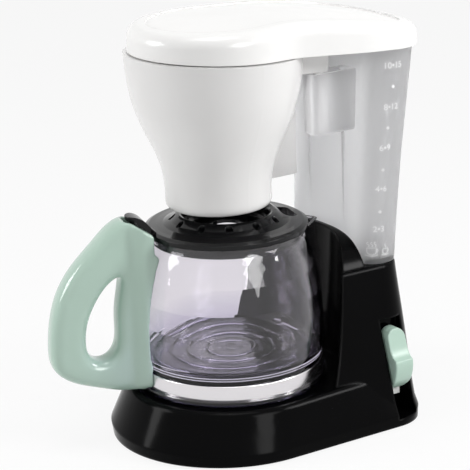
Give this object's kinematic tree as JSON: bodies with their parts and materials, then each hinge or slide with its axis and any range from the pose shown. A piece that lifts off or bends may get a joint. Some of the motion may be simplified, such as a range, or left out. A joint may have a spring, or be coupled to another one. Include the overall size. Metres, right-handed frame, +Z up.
{
  "type": "toy coffee maker",
  "caption": "Toy filter coffee maker: push-down pump lever, frosted water tank with a hinged lid, swing-out filter holder and a clear carafe with a loop handle.",
  "frame": {"origin": "on the resting plane, on the upright axis of the carafe and its platform", "axes": "+Z up, -Y towards the front where the carafe comes out, +Y towards the water tank, +X towards the side with the pump lever"},
  "size_m": [0.1218, 0.194, 0.2129],
  "materials": {
    "black_gloss": "gloss",
    "black_matte": "satin",
    "screw_steel": "satin",
    "foot_rubber": "matt",
    "white_plastic": "satin",
    "soft_rubber": "matt",
    "hose": "satin",
    "mint_plastic": "gloss",
    "frosted_tank": "frosted, see-through",
    "white_gloss": "gloss",
    "clear_plastic": "clear, faint violet",
    "bright_band": "bright foil"
  },
  "bodies": {
    "machine": {"base_shell": "black_gloss", "bottom_cover": "black_matte", "cover_screws": "screw_steel", "rubber_feet": "foot_rubber", "pump_block": "white_plastic", "valve_balls": "screw_steel", "guide_post": "screw_steel", "pump_bellows": "soft_rubber", "return_spring": "screw_steel", "inlet_hose": "hose", "outlet_hose": "hose", "water_tank": "frosted_tank", "tank_screws": "screw_steel", "tank_gaskets": "soft_rubber", "riser_tube": "hose", "spray_spout": "white_plastic", "lid_pin": "screw_steel"},
    "pump_lever": {"pump_slider": "white_plastic", "pump_knob": "mint_plastic"},
    "filter": {"filter_holder": "white_gloss", "drip_valve": "soft_rubber"},
    "lid": {"tank_lid": "white_gloss"},
    "carafe": {"carafe_bowl": "clear_plastic", "carafe_foot": "clear_plastic", "carafe_band": "bright_band", "carafe_handle": "mint_plastic", "carafe_lid_pin": "screw_steel"},
    "carafe_cover": {"carafe_lid": "black_gloss"}
  },
  "joints": [
    {"name": "lid_hinge", "type": "hinge", "parent": "machine", "child": "lid", "pos_m": [0, 0.099, 0.18775], "axis": [-1, 0, 0], "range_deg": [0, 100]},
    {"name": "filter_swing", "type": "hinge", "parent": "machine", "child": "filter", "pos_m": [0.018, 0.0465, 0.19374], "axis": [0, 0.0529, 0.9986], "range_deg": [0, 75]},
    {"name": "carafe_slide", "type": "slide", "parent": "machine", "child": "carafe", "axis": [0, -1, 0], "range_m": [0, 0.15]},
    {"name": "pump_press", "type": "slide", "parent": "machine", "child": "pump_lever", "axis": [0, 0, -1], "range_m": [0, 0.008], "stiffness_N_per_m": 300, "springref_m": -0.005, "deforming": ["return_spring", "pump_bellows"]},
    {"name": "carafe_lid_hinge", "type": "hinge", "parent": "carafe", "child": "carafe_cover", "pos_m": [-0.01204, -0.04492, 0.1086], "axis": [0.9659, -0.2588, 0], "range_deg": [0, 3]}
  ]
}
